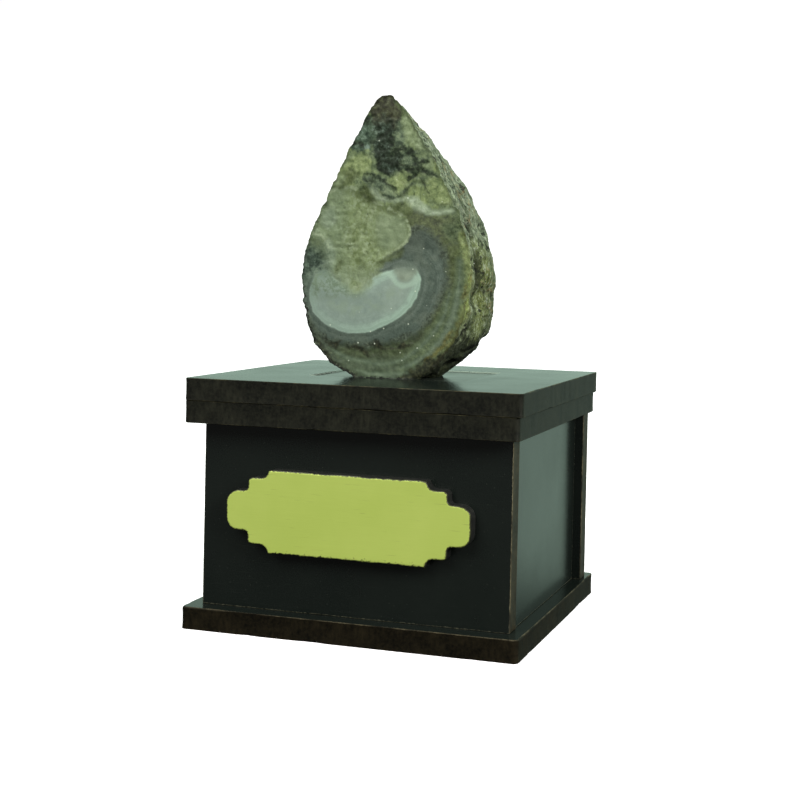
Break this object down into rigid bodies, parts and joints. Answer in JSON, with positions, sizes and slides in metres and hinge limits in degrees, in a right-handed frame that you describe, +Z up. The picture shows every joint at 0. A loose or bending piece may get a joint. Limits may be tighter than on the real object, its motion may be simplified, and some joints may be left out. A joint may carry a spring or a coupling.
{
  "type": "rough agate on a display box",
  "caption": "Rough teardrop agate, sawn flat on one face, standing on a small black fibreboard display box with a bare gold name plate.",
  "frame": {"origin": "middle of the underside of the box's base plate", "axes": "+Z up; the name plate and the stone's sawn face look towards -Y; +X to the right of someone facing them"},
  "size_m": [0.0464, 0.046, 0.0725],
  "materials": {
    "fibreboard": "satin black face, brown laser-cut edges",
    "plate": "brushed gold film on a black core",
    "agate": "sawn face with banding and crystals, rough rind"
  },
  "bodies": {
    "root": {"base_plate": "fibreboard", "front_wall": "fibreboard", "back_wall": "fibreboard", "left_wall": "fibreboard", "right_wall": "fibreboard", "lid_lower": "fibreboard", "lid_upper": "fibreboard", "name_plate": "plate", "agate": "agate"}
  },
  "joints": []
}
